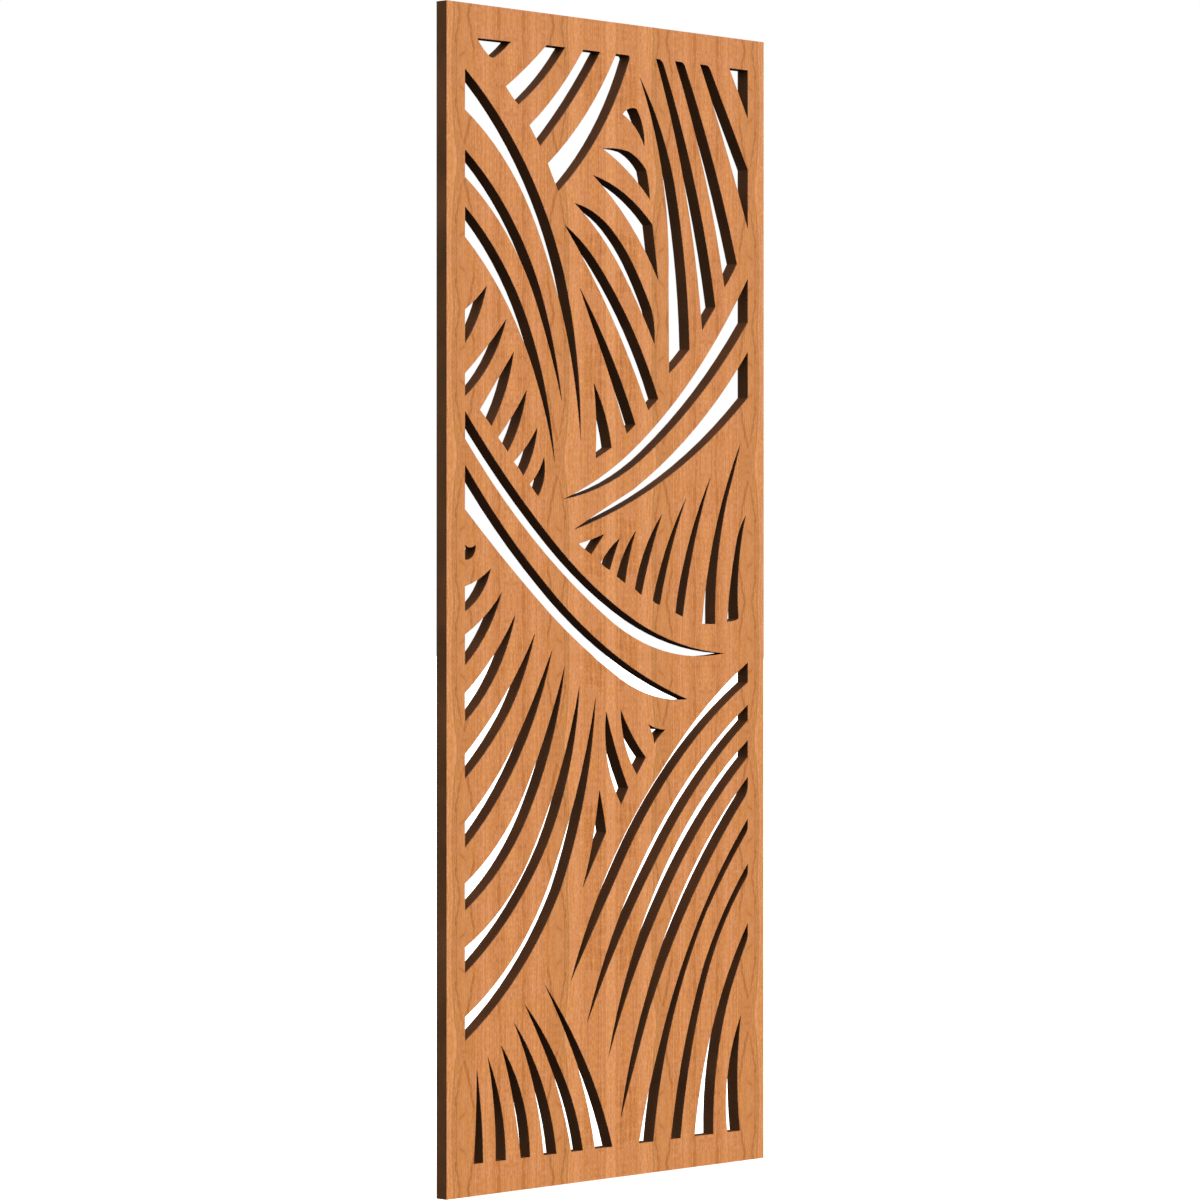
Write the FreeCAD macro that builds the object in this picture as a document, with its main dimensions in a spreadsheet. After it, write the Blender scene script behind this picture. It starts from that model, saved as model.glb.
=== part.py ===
import FreeCAD, Part
import os

# Fretwork wood panel: a veneered plywood board with curved slits cut right through it.
# Millimetres. X runs across the board, Y through it from front to back and Z up.
# The origin is the middle of the bottom edge, halfway through the thickness.

DRIVING_SIZES = (
    ("PanelWidth", 600.0),
    ("PanelHeight", 1500.0),
    ("StileWidth", 32.5),
    ("RailHeight", 40.5),
    ("FaceThickness", 0.75),
    ("PlyThickness", 1.5),
    ("PlyCount", 11),
)

# The slits. The fretted field lies between the two uncut stiles and the two uncut rails.
# Each slit is a loop of corners, anticlockwise as seen from the front. A corner is its
# share of the field's width, its share of the field's height, and the bend of the side
# that leaves it: how far that side bows out of the slit, as a share of its own length.
# Slits that reach the edge of the field are cut off straight there, at share 0 or 1.

# Four blunt slits under the left half of the top rail. The first stops just short of it.
crown_shares = (
    ((0.040, 0.9985, 0.04), (0.082, 0.9835, 0.08), (0.096, 0.983, 0.03), (0.153, 0.999, 0)),
    ((0.137, 0.9585, 0.02), (0.179, 0.9435, 0.038), (0.339, 1, 0), (0.276, 1, -0.017)),
    ((0.217, 0.926, 0), (0.253, 0.9085, 0.025), (0.462, 1, 0), (0.403, 1, -0.036)),
    ((0.280, 0.8935, 0.01), (0.316, 0.8695, 0.063), (0.566, 0.997, 0.26), (0.559, 1, 0),
     (0.519, 1, -0.049)),
)

# Three long horns that fall from the left stile to a point.
horn_shares = (
    ((0, 0.970, 0), (0, 0.934, -0.066), (0.240, 0.8365, -0.051), (0.393, 0.645, 0.040),
     (0.335, 0.795, 0.073)),
    ((0, 0.8985, 0), (0, 0.8745, -0.068), (0.239, 0.768, -0.017), (0.328, 0.6795, 0.030),
     (0.253, 0.780, 0.065)),
    ((0, 0.848, 0), (0, 0.8215, -0.062), (0.247, 0.6915, -0.026), (0.303, 0.623, 0.045),
     (0.212, 0.749, 0.056)),
)

# Five slits that fall from the right half of the top rail.
curtain_shares = (
    ((0.602, 0.9815, -0.063), (0.707, 0.797, 0), (0.709, 0.710, 0.014), (0.783, 0.7335, 0.027),
     (0.726, 0.8885, 0.045)),
    ((0.661, 1, -0.037), (0.830, 0.752, -0.006), (0.879, 0.7745, 0.032), (0.688, 0.996, 0.10),
     (0.672, 1, 0)),
    ((0.730, 1, -0.030), (0.913, 0.7935, 0.02), (0.959, 0.8165, 0.020), (0.767, 0.996, 0.14),
     (0.751, 1, 0)),
    ((0.822, 1, -0.012), (1, 0.8505, 0), (1, 0.906, 0), (0.860, 0.996, 0.14), (0.842, 1, 0)),
    ((0.931, 1, 0), (1, 0.9545, 0), (1, 1, 0)),
)

# Seven leaves between the horns and the curtain, from the top down.
leaf_shares = (
    ((0.542, 0.9455, -0.087), (0.619, 0.918, 0.096), (0.590, 0.952, 0.13)),
    ((0.471, 0.912, -0.045), (0.639, 0.8695, 0.03), (0.626, 0.896, 0.072), (0.560, 0.912, 0.040)),
    ((0.436, 0.887, -0.055), (0.669, 0.7955, 0.005), (0.648, 0.8465, 0.071)),
    ((0.372, 0.860, -0.039), (0.534, 0.804, -0.018), (0.655, 0.7365, 0.06), (0.645, 0.768, 0.013),
     (0.595, 0.7995, 0.039), (0.500, 0.8395, 0.067)),
    ((0.337, 0.8395, -0.033), (0.633, 0.675, 0), (0.669, 0.686, 0.041), (0.465, 0.802, 0.045)),
    ((0.390, 0.7835, 0.005), (0.476, 0.7195, -0.01), (0.556, 0.6525, 0), (0.587, 0.6615, 0.031)),
    ((0.439, 0.6975, -0.031), (0.446, 0.629, 0.01), (0.502, 0.6395, 0.053)),
)

# Six short darts along the left stile, above the long diagonals.
dart_shares = (
    ((0, 0.757, 0), (0, 0.7275, 0.059), (0.072, 0.7795, -0.03)),
    ((0, 0.7005, 0), (0, 0.6805, 0.080), (0.138, 0.751, -0.019)),
    ((0.050, 0.669, 0), (0.088, 0.655, 0.055), (0.163, 0.722, 0)),
    ((0.111, 0.645, 0), (0.143, 0.6325, 0.058), (0.207, 0.6885, -0.022)),
    ((0.164, 0.6235, -0.03), (0.196, 0.6115, 0.068), (0.244, 0.6555, -0.038)),
    ((0.218, 0.604, 0.015), (0.246, 0.5935, 0.118), (0.266, 0.6285, -0.067)),
)

# Two long diagonals from the left stile to the right, and two that answer them.
diagonal_shares = (
    ((0, 0.667, 0), (0, 0.643, 0.040), (0.482, 0.485, 0.090), (0.914, 0.450, -0.048),
     (0.586, 0.481, -0.032), (0.311, 0.549, -0.021)),
    ((0, 0.6195, 0), (0, 0.5805, 0.009), (0.240, 0.502, 0.023), (0.507, 0.4335, 0.075),
     (0.776, 0.4075, -0.053), (0.272, 0.5145, -0.023)),
    ((0.332, 0.591, 0.058), (0.640, 0.637, 0.036), (1, 0.762, 0), (1, 0.803, -0.017),
     (0.835, 0.7235, -0.025), (0.607, 0.6455, -0.039)),
    ((0.367, 0.5635, 0.057), (1, 0.691, 0), (1, 0.734, -0.046), (0.580, 0.6015, 0.002)),
)

# Eight reeds that grow taller towards the right stile.
reed_shares = (
    ((0.387, 0.551, 0.014), (0.431, 0.5415, 0), (0.475, 0.560, -0.01)),
    ((0.464, 0.534, 0.058), (0.496, 0.5275, -0.016), (0.531, 0.5565, 0.05)),
    ((0.520, 0.5215, 0), (0.550, 0.5155, -0.031), (0.589, 0.564, 0.058)),
    ((0.585, 0.510, 0), (0.608, 0.5045, -0.021), (0.683, 0.5795, 0.065)),
    ((0.649, 0.4995, 0.07), (0.675, 0.4955, -0.027), (0.771, 0.595, 0.042)),
    ((0.862, 0.616, 0.031), (0.756, 0.527, 0.026), (0.732, 0.488, 0), (0.758, 0.4845, -0.029)),
    ((0.830, 0.478, 0.015), (0.878, 0.4775, -0.043), (0.924, 0.5965, 0.007), (0.973, 0.648, 0.050)),
    ((0.923, 0.4795, 0.05), (0.965, 0.4825, -0.050), (0.992, 0.5795, 0.062), (0.955, 0.551, 0.022)),
)

# Nine blades that rise from the left stile, below the long diagonals.
blade_shares = (
    ((0, 0.5485, 0), (0, 0.5355, 0.23), (0.035, 0.549, -0.16)),
    ((0, 0.512, 0), (0, 0.490, 0.102), (0.086, 0.528, -0.050)),
    ((0, 0.4695, 0), (0, 0.4425, 0.067), (0.123, 0.507, -0.049)),
    ((0.169, 0.4875, -0.044), (0, 0.4175, 0), (0, 0.3925, 0.082)),
    ((0, 0.3635, 0), (0, 0.342, 0.030), (0.146, 0.399, 0.041), (0.235, 0.470, -0.041)),
    ((0, 0.3035, 0), (0, 0.281, 0.075), (0.295, 0.4555, -0.013), (0.166, 0.3715, -0.034)),
    ((0, 0.249, 0), (0, 0.2255, 0.066), (0.228, 0.318, 0.045), (0.338, 0.4405, -0.020),
     (0.212, 0.335, -0.063)),
    ((0, 0.1925, 0), (0, 0.170, 0.053), (0.276, 0.279, 0.058), (0.389, 0.4225, -0.040),
     (0.214, 0.266, -0.064)),
    ((0, 0.131, 0), (0, 0.110, 0.061), (0.322, 0.2375, 0.049), (0.446, 0.412, -0.031),
     (0.297, 0.254, -0.075)),
)

# Four small darts where the blades meet the arches.
gusset_shares = (
    ((0.483, 0.398, 0.095), (0.536, 0.3125, 0.01), (0.561, 0.3275, -0.023)),
    ((0.592, 0.3395, 0), (0.624, 0.355, -0.039), (0.534, 0.400, 0.082)),
    ((0.632, 0.3855, -0.10), (0.654, 0.3675, -0.045), (0.695, 0.380, -0.05)),
    ((0.459, 0.327, -0.007), (0.440, 0.288, -0.020), (0.400, 0.2385, 0), (0.483, 0.288, 0.014)),
)

# Eight arches that bend from the right stile down to the bottom rail.
arch_shares = (
    ((0.359, 0.155, 0), (0.521, 0.2475, -0.062), (1, 0.4225, 0), (1, 0.441, 0.036),
     (0.688, 0.345, 0.053)),
    ((0.415, 0.115, -0.022), (0.669, 0.2635, -0.039), (1, 0.3865, 0), (1, 0.401, 0.051),
     (0.591, 0.2475, 0.033)),
    ((0.491, 0.0825, -0.028), (0.703, 0.2305, -0.036), (1, 0.352, 0), (1, 0.3675, 0.058),
     (0.627, 0.2115, 0.034)),
    ((0.534, 0.0245, -0.003), (0.638, 0.123, -0.040), (0.991, 0.315, 0.06), (1, 0.323, 0),
     (1, 0.333, 0.060), (0.620, 0.130, 0.028)),
    ((0.600, 0, 0), (0.651, 0, -0.054), (0.845, 0.2085, -0.014), (0.993, 0.280, 0.091),
     (1, 0.287, 0), (1, 0.2935, 0.049), (0.680, 0.095, 0.018)),
    ((0.715, 0, 0), (0.750, 0, -0.025), (0.827, 0.1275, -0.053), (0.994, 0.238, 0.093),
     (1, 0.244, 0), (1, 0.251, 0.034), (0.836, 0.1595, 0.033)),
    ((0.802, 0, 0), (0.871, 0, -0.051), (0.933, 0.131, -0.01), (0.994, 0.177, 0.09),
     (1, 0.187, 0), (1, 0.195, 0.038), (0.852, 0.0825, 0.024)),
    ((0.924, 0, 0), (0.970, 0, -0.038), (0.974, 0.1085, 0.083)),
)

# Six spikes that stand on the left half of the bottom rail.
spike_shares = (
    ((0.029, 0, 0), (0.060, 0, 0.02), (0.039, 0.084, -0.01)),
    ((0.075, 0.094, -0.033), (0.102, 0, 0), (0.136, 0, 0.058)),
    ((0.120, 0.103, -0.029), (0.187, 0, 0), (0.218, 0, 0.083)),
    ((0.163, 0.1225, -0.050), (0.266, 0, 0), (0.309, 0, 0.072)),
    ((0.199, 0.138, -0.013), (0.299, 0.0715, -0.025), (0.361, 0, 0), (0.401, 0, 0.043),
     (0.327, 0.0735, 0.034)),
    ((0.269, 0.1535, -0.014), (0.379, 0.0805, -0.026), (0.444, 0, 0), (0.505, 0, 0.029),
     (0.409, 0.0805, 0.023)),
)

SLIT_FAMILIES = (
    crown_shares,
    horn_shares,
    curtain_shares,
    leaf_shares,
    dart_shares,
    diagonal_shares,
    reed_shares,
    blade_shares,
    gusset_shares,
    arch_shares,
    spike_shares,
)

doc = FreeCAD.newDocument("FretworkPanel")


def add_sizes():
    """Writes the driving dimensions into a sheet, one named cell each."""
    sheet = doc.addObject("Spreadsheet::Sheet", "Sizes")
    for row, (alias, size) in enumerate(DRIVING_SIZES, start=1):
        sheet.set("A%d" % row, alias)
        sheet.set("B%d" % row, str(size))
        sheet.setAlias("B%d" % row, alias)
    doc.recompute()
    return sheet


sizes = add_sizes()
field_left = sizes.StileWidth - sizes.PanelWidth / 2
field_width = sizes.PanelWidth - 2 * sizes.StileWidth
field_bottom = sizes.RailHeight
field_height = sizes.PanelHeight - 2 * sizes.RailHeight


def field_point(corner):
    """Places a corner of a slit on the board's middle plane."""
    across_share, up_share, _ = corner
    x = field_left + across_share * field_width
    z = field_bottom + up_share * field_height
    return FreeCAD.Vector(x, 0, z)


def slit_side(corner, next_corner):
    """Makes one side of a slit: a straight line, or an arc that bows by the corner's bend."""
    start = field_point(corner)
    end = field_point(next_corner)
    bend_share = corner[2]
    if bend_share == 0:
        return Part.LineSegment(start, end).toShape()
    chord = end - start
    outward = FreeCAD.Vector(chord.z, 0, -chord.x)
    crest = (start + end) * 0.5 + outward * bend_share
    return Part.Arc(start, crest, end).toShape()


def slit_outline(corners):
    """Closes the sides of one slit into a loop."""
    next_corners = corners[1:] + corners[:1]
    sides = [slit_side(a, b) for a, b in zip(corners, next_corners)]
    return Part.Wire(sides)


def board_edge():
    """Makes the board's own outline, a plain rectangle."""
    left = -sizes.PanelWidth / 2
    right = sizes.PanelWidth / 2
    top = sizes.PanelHeight
    corners = ((left, 0, 0), (right, 0, 0), (right, 0, top), (left, 0, top), (left, 0, 0))
    return Part.makePolygon([FreeCAD.Vector(*corner) for corner in corners])


def add_fretwork():
    """Makes the flat figure that every layer shares: the board's outline with all its slits."""
    fretwork = doc.addObject("Part::Feature", "Fretwork")
    slits = [slit_outline(corners) for family in SLIT_FAMILIES for corners in family]
    fretwork.Shape = Part.makeFace([board_edge()] + slits, "Part::FaceMakerBullseye")
    return fretwork


def add_layer(label, thickness, front):
    """Adds one layer of the board: the fretwork given a thickness, behind its front plane."""
    layer = doc.addObject("Part::Extrusion", "Layer")
    layer.Label = label
    layer.Base = fretwork
    layer.DirMode = "Custom"
    layer.Dir = FreeCAD.Vector(0, 1, 0)
    layer.Solid = True
    layer.setExpression("LengthFwd", "Sizes." + thickness)
    layer.setExpression(".Placement.Base.y", front)
    return layer


fretwork = add_fretwork()
layers = []
core_front = "-Sizes.PlyCount * Sizes.PlyThickness / 2"

# The show face, with its grain upright.
layers.append(add_layer("front_face_veneer", "FaceThickness", core_front + " - Sizes.FaceThickness"))

# The core, with each ply's grain square to the next: the first and the last lie across.
for place in range(int(sizes.PlyCount)):
    grain = "cross" if place % 2 == 0 else "long"
    ply_front = core_front + " + %d * Sizes.PlyThickness" % place
    layers.append(add_layer("core_ply_%02d_%s" % (place + 1, grain), "PlyThickness", ply_front))

# The balancing face on the back, with its grain upright.
layers.append(add_layer("back_face_veneer", "FaceThickness", "-(" + core_front + ")"))

doc.recompute()

for item in doc.Objects:
    if "Invalid" in item.State or "Error" in item.State:
        raise RuntimeError("object failed: " + item.Label)
for layer in layers:
    if layer.Shape.isNull() or not layer.Shape.isValid() or len(layer.Shape.Solids) != 1:
        raise RuntimeError("layer is not one sound solid: " + layer.Label)

os.makedirs("parts", exist_ok=True)
for layer in layers:
    layer.Shape.exportStep(os.path.join("parts", layer.Label + ".step"))
    print(layer.Label, round(layer.Shape.Volume))
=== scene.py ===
import math

import bpy
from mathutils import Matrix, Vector


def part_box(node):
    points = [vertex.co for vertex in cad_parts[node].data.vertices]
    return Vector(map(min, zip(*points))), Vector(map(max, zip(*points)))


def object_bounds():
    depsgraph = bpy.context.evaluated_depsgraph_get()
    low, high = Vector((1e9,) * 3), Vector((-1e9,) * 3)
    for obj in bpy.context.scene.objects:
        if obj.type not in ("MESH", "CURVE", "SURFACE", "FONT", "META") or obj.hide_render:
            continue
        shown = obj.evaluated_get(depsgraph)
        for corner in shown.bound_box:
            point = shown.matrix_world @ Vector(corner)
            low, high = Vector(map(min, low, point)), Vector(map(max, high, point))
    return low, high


# The fretwork wood panel, dressed and lit as its photograph shows it
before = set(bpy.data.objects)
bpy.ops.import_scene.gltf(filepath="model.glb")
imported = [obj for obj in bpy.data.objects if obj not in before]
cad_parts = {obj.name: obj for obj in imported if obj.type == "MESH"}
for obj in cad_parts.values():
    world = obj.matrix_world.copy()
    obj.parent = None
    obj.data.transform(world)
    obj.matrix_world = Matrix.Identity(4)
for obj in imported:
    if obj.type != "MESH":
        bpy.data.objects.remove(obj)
cad_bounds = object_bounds()
low_corner, high_corner = cad_bounds
panel_height = high_corner.z - low_corner.z
middle_up = low_corner.z + panel_height / 2
board_thickness = high_corner.y - low_corner.y
face_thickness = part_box("front_face_veneer")[1].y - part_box("front_face_veneer")[0].y
ply_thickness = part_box("core_ply_01_cross")[1].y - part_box("core_ply_01_cross")[0].y

MM = 0.001

# The photograph's view, in its pixels and degrees
PICTURE_SIZE = 1200
FOCAL_PIXELS = 4618
VIEW_TURN = 46.66
NEAR_EDGE_PIXEL = 446.63
NEAR_EDGE_HEIGHT = 1199.88

# The camera's film width in millimetres, and how far it sees in metres
SENSOR_WIDTH = 36
CLIP_END = 200.0

# The studio's light: its level at the horizon, its growth upwards and its least level
SKY_LEVEL = 0.842
SKY_SLOPE = 2.2
SKY_LEAST = 0.1


def srgb(red, green, blue):
    """A colour given as a picture shows it, 0 to 255, as the shader's linear colour."""
    linear = []
    for value in (red, green, blue):
        share = value / 255
        low = share <= 0.04045
        linear.append(share / 12.92 if low else ((share + 0.055) / 1.055) ** 2.4)
    return (*linear, 1.0)


WHITE = srgb(255, 255, 255)

# The pale floor, in metres
FLOOR_WIDTH = 80.0
FLOOR_COLOUR = srgb(250, 250, 250)
FLOOR_ROUGHNESS = 0.9

# A Mix node's sockets for colours: its factor, its two colours and its result
MIX_INPUTS = (0, 6, 7)
MIX_RESULT = 2


class Nodes:
    """Adds nodes to one node tree. A value may be a number, a colour or another node's output."""

    def __init__(self, tree):
        self.tree = tree
        tree.nodes.clear()

    def add(self, kind, **settings):
        node = self.tree.nodes.new(kind)
        for name, value in settings.items():
            setattr(node, name, value)
        return node

    def feed(self, socket, value):
        if isinstance(value, bpy.types.NodeSocket):
            self.tree.links.new(value, socket)
        else:
            socket.default_value = value

    def feed_named(self, node, values):
        """Feeds several inputs of a node, each by its name."""
        for name, value in values.items():
            self.feed(node.inputs[name], value)

    def fed(self, kind, *values, **settings):
        """A new node whose first inputs take the values."""
        node = self.add(kind, **settings)
        for socket, value in zip(node.inputs, values):
            self.feed(socket, value)
        return node

    def math(self, operation, *values):
        return self.fed("ShaderNodeMath", *values, operation=operation).outputs["Value"]

    def total(self, first, *others):
        for other in others:
            first = self.math("ADD", first, other)
        return first

    def product(self, first, *others):
        for other in others:
            first = self.math("MULTIPLY", first, other)
        return first

    def less(self, first, second):
        """The first value less the second."""
        return self.math("SUBTRACT", first, second)

    def linear(self, value, slope, start):
        """The start plus the slope times the value."""
        return self.math("MULTIPLY_ADD", value, slope, start)

    def from_to(self, value, start, end):
        """The start where the value is 0, the end where it is 1, and in line with them elsewhere."""
        return self.linear(value, end - start, start)

    def between(self, value, low, high):
        """0 below low, 1 above high and a smooth rise from one to the other."""
        node = self.fed("ShaderNodeMapRange", value, low, high, interpolation_type="SMOOTHSTEP")
        return node.outputs["Result"]

    def fading(self, value, low, high):
        """1 below low, 0 above high and a smooth fall from one to the other."""
        return self.less(1.0, self.between(value, low, high))

    def bump_at(self, value, centre, half_width):
        """1 where value is at centre, falling smoothly to 0 at half_width away."""
        return self.fading(self.math("ABSOLUTE", self.less(value, centre)), 0.0, half_width)

    def centred(self, value, size):
        """A value from 0 to 1 turned into one from minus half the size to plus half of it."""
        return self.product(self.less(value, 0.5), size)

    def vector(self, x, y, z):
        return self.fed("ShaderNodeCombineXYZ", x, y, z).outputs["Vector"]

    def parts(self, vector):
        """The X, Y and Z of a vector."""
        return tuple(self.fed("ShaderNodeSeparateXYZ", vector).outputs)

    def coordinates(self, kind):
        """The X, Y and Z of one kind of coordinates: Object, Normal or Generated."""
        return self.parts(self.add("ShaderNodeTexCoord").outputs[kind])

    def noise(self, point, changes, detail=2.0, roughness=0.5):
        """Smooth noise from 0 to 1 at a point, with its changes per metre along each axis."""
        parts = [self.product(value, change) for value, change in zip(point, changes)]
        node = self.add("ShaderNodeTexNoise", noise_dimensions="3D", normalize=True)
        self.feed_named(node, {"Vector": self.vector(*parts), "Scale": 1.0, "Detail": detail,
                               "Roughness": roughness})
        return node.outputs["Fac"]

    def ramp(self, value, stops):
        """Colours or levels by value. Each stop is (place from 0 to 1, level or colour)."""
        node = self.fed("ShaderNodeValToRGB", value)
        elements = node.color_ramp.elements
        while len(elements) < len(stops):
            elements.new(1.0)
        for element, (place, level) in zip(elements, stops):
            element.position = place
            element.color = level if isinstance(level, tuple) else (level, level, level, 1.0)
        return node.outputs["Color"]

    def blend(self, factor, first, second, kind="MIX"):
        """The first colour where the factor is 0, and the second where it is 1."""
        node = self.add("ShaderNodeMix", data_type="RGBA", blend_type=kind)
        for place, value in zip(MIX_INPUTS, (factor, first, second)):
            self.feed(node.inputs[place], value)
        return node.outputs[MIX_RESULT]

    def tinted(self, colour, tint):
        """The colour times the tint."""
        return self.blend(1.0, colour, tint, kind="MULTIPLY")


def new_material(name):
    material = bpy.data.materials.new(name)
    material.use_nodes = True
    return material, Nodes(material.node_tree)


def finish_surface(nodes, colour, roughness, specular, height=0.0, bump_distance=0.0):
    """The material's shader, whose height is shown as a bump."""
    bump = nodes.add("ShaderNodeBump")
    nodes.feed_named(bump, {"Distance": bump_distance, "Height": height})
    shader = nodes.add("ShaderNodeBsdfPrincipled")
    nodes.feed_named(shader, {"Base Color": colour, "Roughness": roughness,
                              "Specular IOR Level": specular, "Normal": bump.outputs["Normal"]})
    nodes.fed("ShaderNodeOutputMaterial", shader.outputs["BSDF"])


# Cut walls: sawn wood stained dark, between two colours by its tone
WALL_DARK = srgb(61, 39, 22)
WALL_LIGHT = srgb(91, 61, 37)
WALL_TONES = (0.2, 0.85)

# The fibres and clouds of a cut wall, by their changes per metre along each axis
CROSS_PLY_GRAIN = (30, 1400, 1400)
LONG_PLY_GRAIN = (1400, 1400, 30)
VENEER_EDGE_GRAIN = (500, 500, 20)
WALL_CLOUDS = (14, 14, 14)
WALL_CLOUD_STRENGTH = 0.7

# In the slits the walls are darkened and warmed as painted shade, and walls that face up by their
# normal's Z are warmest, as painted light
SLIT_PAINTED_SHADE_TINT = srgb(226, 217, 207)
UPWARD_PAINTED_LIGHT_TINT = srgb(239, 216, 198)
FACING_UP = (0.1, 0.8)
RIM_DEPTH = 1 * MM

# The dark lines of glue between the layers
GLUE_DARK = srgb(42, 27, 16)
GLUE_HALF_WIDTH = 0.09 * MM
GLUE_STRENGTH = 0.7

# The core plies' sheen on the outer edge, in the slits and facing up, their roughness and their bump
EDGE_SPECULAR = 0.03
SLIT_SPECULAR = 0.06
UPWARD_SPECULAR = 0.024
WALL_ROUGHNESS = (0.75, 0.9)
FIBRE_HEIGHT = 0.08 * MM


def inside_rim(nodes, point):
    """1 on the board's faces and slits, and 0 within the rim's depth of its outer edge."""
    x, _, z = point
    from_middle = nodes.math("ABSOLUTE", nodes.less(z, middle_up))
    beside = nodes.math("LESS_THAN", nodes.math("ABSOLUTE", x), high_corner.x - RIM_DEPTH)
    below = nodes.math("LESS_THAN", from_middle, panel_height / 2 - RIM_DEPTH)
    return nodes.product(beside, below)


def upward(nodes):
    """0 on walls that face down or sideways, rising to 1 on those that face up."""
    _, _, up = nodes.coordinates("Normal")
    return nodes.between(up, *FACING_UP)


def wall_fibres(nodes, point, grain):
    """The fibres that a cut wall shows, from 0 to 1."""
    return nodes.noise(point, grain, detail=3.0, roughness=0.6)


def wall_colour(nodes, point, fibres):
    """The dark colour of a cut wall, with painted shade in the slits, painted light warming walls that
    face up, and the lines of glue between its layers.
    """
    _, y, _ = point
    clouds = nodes.noise(point, WALL_CLOUDS)
    tone = nodes.total(fibres, nodes.centred(clouds, WALL_CLOUD_STRENGTH))
    wood = nodes.blend(nodes.between(tone, *WALL_TONES), WALL_DARK, WALL_LIGHT)
    # Painted shade darkens the walls in the slits, and painted light warms those that face up
    tint = nodes.blend(upward(nodes), SLIT_PAINTED_SHADE_TINT, UPWARD_PAINTED_LIGHT_TINT)
    wood = nodes.blend(inside_rim(nodes, point), wood, nodes.tinted(wood, tint))
    behind_veneer = nodes.total(y, board_thickness / 2 - face_thickness)
    to_joint = nodes.math("PINGPONG", behind_veneer, ply_thickness / 2)
    glue = nodes.fading(to_joint, GLUE_HALF_WIDTH / 2, GLUE_HALF_WIDTH)
    return nodes.blend(nodes.product(glue, GLUE_STRENGTH), wood, GLUE_DARK)


# The veneer's figure: one leaf, mirrored side by side and end to end, and about its own heart
LEAF_SIZE = 184.4 * MM
SEAM_ACROSS = -0.3 * MM
SEAM_UP = 1116 * MM
HEART_UP = 71.3 * MM

# The leaf's bands: the place across from the seam, in millimetres, and the lightness
LEAF_BANDS = [(0, 0.68), (9, 0.66), (11, 0.55), (19, 0.49), (30, 0.5), (48, 0.47), (53, 0.62),
              (73, 0.64), (75.5, 0.76), (77.5, 0.5), (80, 0.43), (85, 0.44), (89, 0.5), (112, 0.46),
              (119, 0.5), (120.5, 0.6), (123, 0.4), (127, 0.5), (133, 0.5), (134.5, 0.66),
              (136.5, 0.48), (144, 0.6), (151, 0.5), (168, 0.49), (180, 0.58), (184.4, 0.6)]

# Growth lines: the place across and the half width, in millimetres, and the lightness added
LEAF_LINES = [(10.0, 1.4, -0.12), (23.0, 2.2, -0.2), (78.5, 2.0, -0.1), (86.0, 2.2, -0.14),
              (99.0, 3.0, 0.06), (117.5, 2.5, -0.16), (121.0, 1.7, 0.14), (128.5, 2.0, -0.08),
              (134.3, 1.7, 0.12), (142.5, 2.0, 0.08), (153.0, 2.2, -0.16), (163.0, 2.4, -0.14),
              (173.0, 2.0, -0.1)]
CURL_COLUMNS = [(19.5, 4.5, -0.22), (37.0, 5.5, -0.05), (47.5, 4.5, -0.08)]
LINES_COME_UP = (0.2, 0.5)

# How the growth lines wander, and bow outwards beside the lens
WANDER_SIZE = 6 * MM
BOW_SIZE = 10 * MM
BOW_RISES = (50 * MM, 76 * MM)
BOW_FALLS = (95 * MM, 125 * MM)


def leaf_place(nodes, point, shift):
    """Where a point lies on its leaf: across from the seam, and along from the leaf's heart."""
    x, _, z = point
    across = nodes.math("PINGPONG", nodes.less(x, SEAM_ACROSS + shift), LEAF_SIZE)
    up = nodes.math("PINGPONG", nodes.less(z, SEAM_UP), LEAF_SIZE)
    return across, nodes.math("ABSOLUTE", nodes.less(up, HEART_UP))


def leaf_noise(nodes, across, along, layer, changes, detail=2.0, roughness=0.5):
    """Noise by its changes per metre across and along the leaf. Each layer has its own pattern."""
    changes_across, changes_along = changes
    point = (across, layer, along)
    return nodes.noise(point, (changes_across, 1, changes_along), detail, roughness)


def among_lines(nodes, across, along):
    """The place across as the growth lines see it, which wander and bow outwards along the leaf."""
    wander = leaf_noise(nodes, across, along, layer=0.0, changes=(9, 16), detail=3.0)
    beside_lens = nodes.product(nodes.between(across, *BOW_RISES), nodes.fading(across, *BOW_FALLS))
    to_end = nodes.math("DIVIDE", along, LEAF_SIZE - HEART_UP)
    bow = nodes.product(to_end, to_end, beside_lens, BOW_SIZE)
    return nodes.less(nodes.total(across, nodes.centred(wander, WANDER_SIZE)), bow)


def growth_lines(nodes, place, along, lines):
    """The sum of narrow upright lines, which come and go along the leaf."""
    result = 0.0
    for middle, half_width, lightness in lines:
        line = nodes.bump_at(place, middle * MM, half_width * MM)
        result = nodes.linear(line, lightness, result)
    presence = leaf_noise(nodes, place, along, layer=5.0, changes=(40, 25), detail=1.0)
    return nodes.product(result, nodes.between(presence, *LINES_COME_UP))


# The lens of growth rings: its half widths on the narrow and the wide side, its end and its jags
LENS_MIDDLE = 100 * MM
LENS_HALF_WIDTHS = (14 * MM, 18 * MM)
LENS_ENDS = (89 * MM, 95 * MM)
LENS_JAGS = 9 * MM

# The lens's tapers: where each would close along the leaf, and its slope
LENS_TAPERS = [(104 * MM, 0.226), (91 * MM, 0.39)]

# Towards its thick end the lens's outline widens, as distances from it count for less
THICKENS = (45 * MM, 78 * MM)
THICK_END_SQUEEZE = 0.6

# The outline's width, where it darkens along the leaf, and how dark it is
OUTLINE_HALF_WIDTH = 3.4 * MM
OUTLINE_DARKENS = (14 * MM, 45 * MM)
OUTLINE_FAINTEST = 0.4
OUTLINE_BY_SIDE = (0.85, 1.15)
OUTLINE_DARKNESS = 0.38

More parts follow.
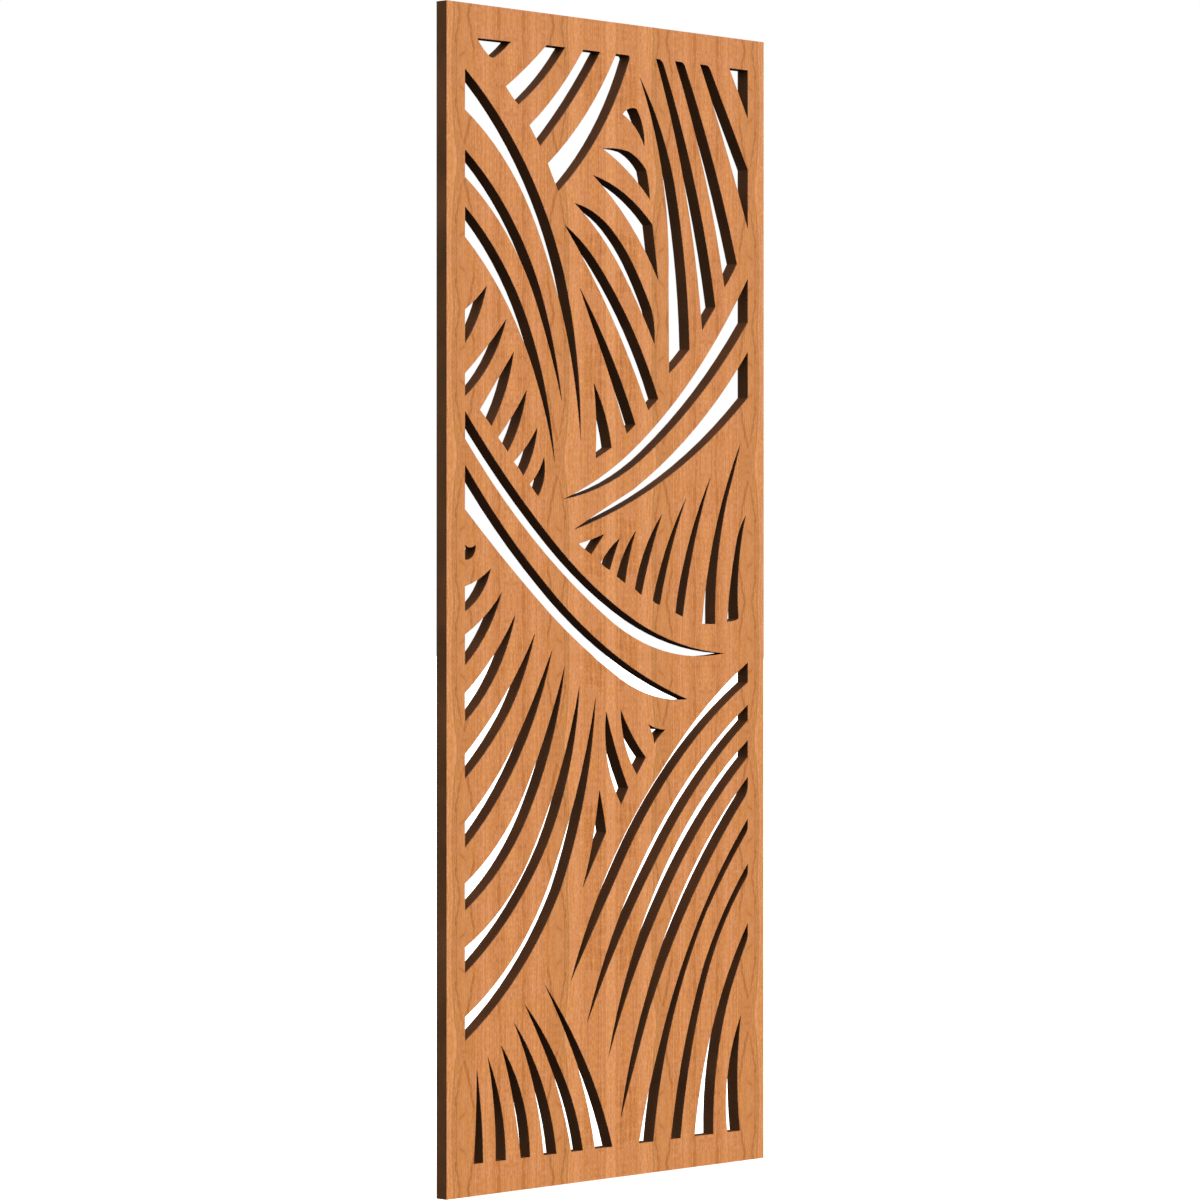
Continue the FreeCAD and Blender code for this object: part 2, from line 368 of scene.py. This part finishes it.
# The pale halo outside the outline
HALO_AWAY = 4 * MM
HALO_HALF_WIDTH = 2.5 * MM
HALO_BEGINS = (45 * MM, 75 * MM)
HALO_STRENGTH = 0.25


def lens_outline(nodes, across, along):
    """The dark outline of the lens-shaped growth rings, jagged, and thickest at its pointed end."""
    aside = nodes.less(across, LENS_MIDDLE)
    wide_side = nodes.math("GREATER_THAN", aside, 0.0)
    half_width = nodes.from_to(wide_side, *LENS_HALF_WIDTHS)
    for closes_at, slope in LENS_TAPERS:
        taper = nodes.product(nodes.less(closes_at, along), slope)
        half_width = nodes.math("MINIMUM", half_width, taper)
    jags = leaf_noise(nodes, across, along, layer=9.0, changes=(45, 80), detail=3.0, roughness=0.6)
    jagged = nodes.total(aside, nodes.centred(jags, LENS_JAGS))
    outside = nodes.less(nodes.math("ABSOLUTE", jagged), half_width)
    thick_end = nodes.product(wide_side, nodes.between(along, *THICKENS))
    squeezed = nodes.product(outside, nodes.from_to(thick_end, 1.0, THICK_END_SQUEEZE))
    line = nodes.bump_at(squeezed, 0.0, OUTLINE_HALF_WIDTH)
    strength = nodes.from_to(nodes.between(along, *OUTLINE_DARKENS), OUTLINE_FAINTEST, 1.0)
    strength = nodes.product(strength, nodes.from_to(wide_side, *OUTLINE_BY_SIDE))
    halo = nodes.product(nodes.bump_at(outside, HALO_AWAY, HALO_HALF_WIDTH),
                         nodes.between(along, *HALO_BEGINS), HALO_STRENGTH)
    figure = nodes.less(nodes.product(line, strength), halo)
    return nodes.product(figure, nodes.fading(along, *LENS_ENDS), OUTLINE_DARKNESS)


# The small ring at the lens's heart: its line's half width and wander are shares of the ring's size
OVAL_MIDDLE = 100.5 * MM
OVAL_HALF_WIDTH = 8.5 * MM
OVAL_HALF_LENGTH = 30 * MM
OVAL_WANDER = 0.5
OVAL_LINE_HALF_WIDTH = 0.16
OVAL_LINE_STRENGTH = 0.5
OVAL_DARKNESS = 0.2

# The slanted stroke near each end of the small ring
STROKE_ACROSS = 97 * MM
STROKE_ALONG = 21.5 * MM
STROKE_SLANT = -0.6
STROKE_WANDER = 5 * MM
STROKE_HALF_WIDTH = 5 * MM
STROKE_HALF_LENGTH = 9 * MM
STROKE_STRENGTH = 1.9


def inner_oval(nodes, across, along):
    """The faint small ring at the heart, with a darker slanted stroke near each end."""
    wander = leaf_noise(nodes, across, along, layer=4.0, changes=(80, 60))
    wander = nodes.centred(wander, OVAL_WANDER)
    sideways = nodes.math("DIVIDE", nodes.less(across, OVAL_MIDDLE), OVAL_HALF_WIDTH)
    lengthways = nodes.math("DIVIDE", along, OVAL_HALF_LENGTH)
    reach = nodes.math("SQRT", nodes.total(nodes.product(sideways, sideways),
                                           nodes.product(lengthways, lengthways)))
    line = nodes.bump_at(nodes.total(reach, wander), 1.0, OVAL_LINE_HALF_WIDTH)
    slanted = nodes.linear(nodes.less(across, STROKE_ACROSS), STROKE_SLANT, along)
    slanted = nodes.linear(wander, STROKE_WANDER, slanted)
    stroke = nodes.product(nodes.bump_at(slanted, STROKE_ALONG, STROKE_HALF_WIDTH),
                           nodes.bump_at(across, STROKE_ACROSS, STROKE_HALF_LENGTH))
    figure = nodes.math("MAXIMUM", nodes.product(line, OVAL_LINE_STRENGTH),
                        nodes.product(stroke, STROKE_STRENGTH))
    return nodes.product(figure, OVAL_DARKNESS)


# The wood beyond the lens's pointed end
BEYOND_MIDDLE = 105 * MM
BEYOND_HALF_WIDTH = 14 * MM
BEYOND_BEGINS = (88 * MM, 104 * MM)
BEYOND_DARKNESS = 0.13


def beyond_lens(nodes, across, along):
    """How much darker the wood is beyond the lens's pointed end."""
    return nodes.product(nodes.bump_at(across, BEYOND_MIDDLE, BEYOND_HALF_WIDTH),
                         nodes.between(along, *BEYOND_BEGINS), BEYOND_DARKNESS)


# The curly patch: where it begins and ends across, and where it ends along the leaf
CURL_BEGINS = (9 * MM, 14 * MM)
CURL_ENDS = (47 * MM, 53 * MM)
CURL_ENDS_ALONG = (43 * MM, 48 * MM)
CURL_HINGE = 10 * MM
CURL_SLANT = 0.12
CURL_DARKNESS = 0.03
RIPPLE_LEVELS = (0.35, 0.65)
RIPPLE_STRENGTH = 0.22


def curl(nodes, across, along):
    """The curly patch beside the seam: dark upright columns crossed by fine slanting ripples."""
    slanted = nodes.linear(nodes.less(across, CURL_HINGE), CURL_SLANT, along)
    patch = nodes.product(nodes.between(across, *CURL_BEGINS), nodes.fading(across, *CURL_ENDS),
                          nodes.fading(slanted, *CURL_ENDS_ALONG))
    ripples = leaf_noise(nodes, across, slanted, layer=3.0, changes=(18, 170))
    ripples = nodes.centred(nodes.between(ripples, *RIPPLE_LEVELS), RIPPLE_STRENGTH)
    columns = growth_lines(nodes, across, along, CURL_COLUMNS)
    return nodes.product(patch, nodes.total(columns, ripples, -CURL_DARKNESS))


# The smudges in the plain side of the leaf, the cross mark and the leaning mark among them
SMUDGES_BEGIN = (132 * MM, 150 * MM)
SMUDGE_DARKNESS = 0.3
CROSS_MARK_ALONG = 14 * MM
CROSS_MARK_HALF_WIDTH = 4 * MM
CROSS_MARK_BOW = 9 * MM
CROSS_MARK_STRENGTH = 0.7
LEANING_ACROSS = 162.5 * MM
LEANING_HALF_WIDTH = 3 * MM
LEANING_BEGINS = (52 * MM, 66 * MM)
LEANING_HINGE = 78 * MM
LEANING_SLANT = -0.12
MARK_LEVELS = (0.25, 0.6)
SPECK_LEVELS = (0.52, 0.78)
SPECK_STRENGTH = 0.8


def smudges(nodes, across, along):
    """Dark smudges: a cross mark near the heart, a leaning mark further on, and specks."""
    rough = leaf_noise(nodes, across, along, layer=6.0, changes=(110, 90), detail=3.0)
    bow = leaf_noise(nodes, across, 0.0, layer=2.0, changes=(45, 1))
    bowed = nodes.total(along, nodes.centred(bow, CROSS_MARK_BOW))
    cross_mark = nodes.product(nodes.bump_at(bowed, CROSS_MARK_ALONG, CROSS_MARK_HALF_WIDTH),
                               CROSS_MARK_STRENGTH)
    leaning = nodes.linear(nodes.less(along, LEANING_HINGE), LEANING_SLANT, across)
    leaning_mark = nodes.product(nodes.bump_at(leaning, LEANING_ACROSS, LEANING_HALF_WIDTH),
                                 nodes.between(along, *LEANING_BEGINS))
    marks = nodes.product(nodes.math("MAXIMUM", cross_mark, leaning_mark),
                          nodes.between(rough, *MARK_LEVELS))
    specks = nodes.product(nodes.between(rough, *SPECK_LEVELS), SPECK_STRENGTH)
    return nodes.product(nodes.between(across, *SMUDGES_BEGIN),
                         nodes.math("MAXIMUM", marks, specks), SMUDGE_DARKNESS)


# The fine grain's parts by strength, and the grain's strength outside the lens and inside it
STREAK_STRENGTH = 1.1
FLECK_STRENGTH = 1.2
MOTTLE_STRENGTH = 0.5
CLOUD_STRENGTH = 0.25
GRAIN_STRENGTHS = (1.08, 0.63)
CALM_HALF_WIDTH = 26 * MM
CALM_ENDS = (55 * MM, 90 * MM)


def fine_grain(nodes, across, along, place):
    """Thin streaks, short flecks, mottle and soft clouds, calmer inside the lens."""
    streaks = leaf_noise(nodes, place, along, layer=0.0, changes=(560, 12), detail=3.0, roughness=0.6)
    flecks = leaf_noise(nodes, place, along, layer=8.0, changes=(480, 200), roughness=0.6)
    mottle = leaf_noise(nodes, place, along, layer=7.0, changes=(210, 100))
    clouds = leaf_noise(nodes, across, along, layer=13.0, changes=(70, 35))
    grain = nodes.total(nodes.centred(streaks, STREAK_STRENGTH), nodes.centred(flecks, FLECK_STRENGTH),
                        nodes.centred(mottle, MOTTLE_STRENGTH), nodes.centred(clouds, CLOUD_STRENGTH))
    in_lens = nodes.product(nodes.bump_at(across, LENS_MIDDLE, CALM_HALF_WIDTH),
                            nodes.fading(along, *CALM_ENDS))
    return nodes.product(grain, nodes.from_to(in_lens, *GRAIN_STRENGTHS))


def veneer_tone(nodes, across, along, place):
    """The figure's lightness at a place of the leaf, around a half."""
    stops = [(position * MM / LEAF_SIZE, lightness) for position, lightness in LEAF_BANDS]
    bands = nodes.ramp(nodes.math("DIVIDE", place, LEAF_SIZE), stops)
    lines = growth_lines(nodes, place, along, LEAF_LINES)
    light = nodes.total(bands, lines, fine_grain(nodes, across, along, place),
                        curl(nodes, across, along))
    dark = nodes.total(lens_outline(nodes, across, along), inner_oval(nodes, across, along),
                       beyond_lens(nodes, across, along), smudges(nodes, across, along))
    return nodes.less(light, dark)


# The veneer's colours by lightness, and the tints of its bands and patches
VENEER_COLOURS = [(0.0, srgb(180, 108, 53)), (0.3, srgb(202, 127, 72)), (0.5, srgb(212, 138, 85)),
                  (0.7, srgb(223, 149, 97)), (1.0, srgb(238, 167, 117))]
OLIVE_TINT = srgb(244, 255, 246)
ORANGE_TINT = srgb(255, 252, 212)
PINK_TINT = srgb(250, 250, 255)
PATCH_TINTS = [(0.3, ORANGE_TINT), (0.7, PINK_TINT)]

# The olive bands: the place across and the half width, in millimetres, and the strength
OLIVE_BANDS = [(81.8, 6, 0.9), (102, 26, 0.25)]

# The veneer's sheen, its roughness from dark to light wood, and its pores
FACE_SPECULAR = 0.2
FACE_ROUGHNESS = (0.46, 0.58)
PORE_DEPTH = 0.05 * MM

# A surface is a face and not a wall where its normal's Y, front or back, is beyond this
LEAST_FACING = 0.5

# The darkened arris beside slit walls that face left: its width, its least and full lean to the left,
# and the samples that find it
ARRIS_WIDTH = 1.6 * MM
ARRIS_LEAN = (0.04, 0.3)
ARRIS_SAMPLES = 6


def veneer_colour(nodes, tone, along, place):
    """The wood's colour for its lightness, with olive bands and pinker or more orange patches."""
    wood = nodes.ramp(tone, VENEER_COLOURS)
    olive = [nodes.product(nodes.bump_at(place, middle * MM, half_width * MM), strength)
             for middle, half_width, strength in OLIVE_BANDS]
    wood = nodes.blend(nodes.math("MAXIMUM", *olive), wood, nodes.tinted(wood, OLIVE_TINT))
    patches = leaf_noise(nodes, place, along, layer=12.0, changes=(110, 30), detail=3.0, roughness=0.6)
    return nodes.tinted(wood, nodes.ramp(patches, PATCH_TINTS))


def darkened_arris(nodes, point):
    """1 on the face right beside a slit's wall that faces left, where the face takes the wall's dark
    colour.
    """
    rounded = nodes.add("ShaderNodeBevel", samples=ARRIS_SAMPLES)
    rounded.inputs["Radius"].default_value = ARRIS_WIDTH
    right, _, _ = nodes.parts(rounded.outputs["Normal"])
    return nodes.product(nodes.between(nodes.product(right, -1.0), *ARRIS_LEAN),
                         inside_rim(nodes, point))


def face_veneer_material(name, shift):
    """Cherry-like veneer whose leaves mirror one another. The shift moves the figure sideways."""
    material, nodes = new_material(name)
    point = nodes.coordinates("Object")
    across, along = leaf_place(nodes, point, shift)
    place = among_lines(nodes, across, along)
    tone = veneer_tone(nodes, across, along, place)
    wood = veneer_colour(nodes, tone, along, place)
    wall = wall_colour(nodes, point, wall_fibres(nodes, point, VENEER_EDGE_GRAIN))
    # A narrow band of the face beside slit walls that face left takes the walls' dark colour
    face = nodes.blend(darkened_arris(nodes, point), wood, wall)
    _, facing_back, _ = nodes.coordinates("Normal")
    is_face = nodes.math("GREATER_THAN", nodes.math("ABSOLUTE", facing_back), LEAST_FACING)
    pores = leaf_noise(nodes, across, along, layer=11.0, changes=(1500, 40))
    finish_surface(nodes, colour=nodes.blend(is_face, wall, face),
                   roughness=nodes.from_to(tone, *FACE_ROUGHNESS), specular=FACE_SPECULAR,
                   height=pores, bump_distance=PORE_DEPTH)
    return material


def core_ply_material(name, grain):
    """A core ply, of which only the cut edge shows."""
    material, nodes = new_material(name)
    point = nodes.coordinates("Object")
    fibres = wall_fibres(nodes, point, grain)
    more_in_slit = nodes.from_to(upward(nodes), SLIT_SPECULAR - EDGE_SPECULAR,
                                 UPWARD_SPECULAR - EDGE_SPECULAR)
    finish_surface(nodes, colour=wall_colour(nodes, point, fibres),
                   roughness=nodes.from_to(fibres, *WALL_ROUGHNESS),
                   specular=nodes.linear(inside_rim(nodes, point), more_in_slit, EDGE_SPECULAR),
                   height=fibres, bump_distance=FIBRE_HEIGHT)
    return material


def dress_nodes():
    """Gives each layer of the board its material."""
    front_face = face_veneer_material("front_face", 0.0)
    back_face = face_veneer_material("back_face", LEAF_SIZE / 2)
    cross_ply = core_ply_material("cross_ply", CROSS_PLY_GRAIN)
    long_ply = core_ply_material("long_ply", LONG_PLY_GRAIN)
    for name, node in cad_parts.items():
        node.data.materials.clear()
        if name.startswith("front"):
            node.data.materials.append(front_face)
        elif name.startswith("back"):
            node.data.materials.append(back_face)
        elif name.endswith("cross"):
            node.data.materials.append(cross_ply)
        else:
            node.data.materials.append(long_ply)


def add_camera():
    """The photograph's camera: level, at half the panel's height, and turned to the panel's left."""
    turn = math.radians(VIEW_TURN)
    forward = Vector((math.sin(turn), math.cos(turn), 0.0))
    right = Vector((math.cos(turn), -math.sin(turn), 0.0))
    distance = FOCAL_PIXELS * panel_height / NEAR_EDGE_HEIGHT
    aside = (NEAR_EDGE_PIXEL - PICTURE_SIZE / 2) * distance / FOCAL_PIXELS
    near_edge = Vector((low_corner.x, low_corner.y, middle_up))
    data = bpy.data.cameras.new("camera")
    data.sensor_width = SENSOR_WIDTH
    data.lens = FOCAL_PIXELS / PICTURE_SIZE * SENSOR_WIDTH
    data.clip_end = CLIP_END
    camera = bpy.data.objects.new("camera", data)
    camera.location = near_edge - forward * distance - right * aside
    camera.rotation_mode = "QUATERNION"
    camera.rotation_quaternion = forward.to_track_quat("-Z", "Y")
    bpy.context.scene.collection.objects.link(camera)
    bpy.context.scene.camera = camera


def add_floor():
    """A plain pale floor, which neither lights the panel nor shows in its sheen."""
    half = FLOOR_WIDTH / 2
    corners = [(-half, -half, 0), (half, -half, 0), (half, half, 0), (-half, half, 0)]
    mesh = bpy.data.meshes.new("floor")
    mesh.from_pydata(corners, [], [(0, 1, 2, 3)])
    floor = bpy.data.objects.new("floor", mesh)
    floor.location.z = low_corner.z
    floor.visible_diffuse = False
    floor.visible_glossy = False
    material, nodes = new_material("floor")
    finish_surface(nodes, FLOOR_COLOUR, FLOOR_ROUGHNESS, specular=0.0)
    mesh.materials.append(material)
    bpy.context.scene.collection.objects.link(floor)


def add_surroundings():
    """A studio that the camera sees white, and whose light grows from the ground up."""
    world = bpy.data.worlds.new("studio")
    world.use_nodes = True
    nodes = Nodes(world.node_tree)
    _, _, up = nodes.coordinates("Generated")
    level = nodes.math("MAXIMUM", nodes.linear(up, SKY_SLOPE, SKY_LEVEL), SKY_LEAST)
    light = nodes.fed("ShaderNodeBackground", WHITE, level)
    white = nodes.fed("ShaderNodeBackground", WHITE)
    is_seen = nodes.add("ShaderNodeLightPath").outputs["Is Camera Ray"]
    choice = nodes.fed("ShaderNodeMixShader", is_seen, light.outputs["Background"],
                       white.outputs["Background"])
    nodes.fed("ShaderNodeOutputWorld", choice.outputs["Shader"])
    bpy.context.scene.world = world


dress_nodes()
add_camera()
add_floor()
add_surroundings()
bpy.context.scene.view_settings.view_transform = "Standard"
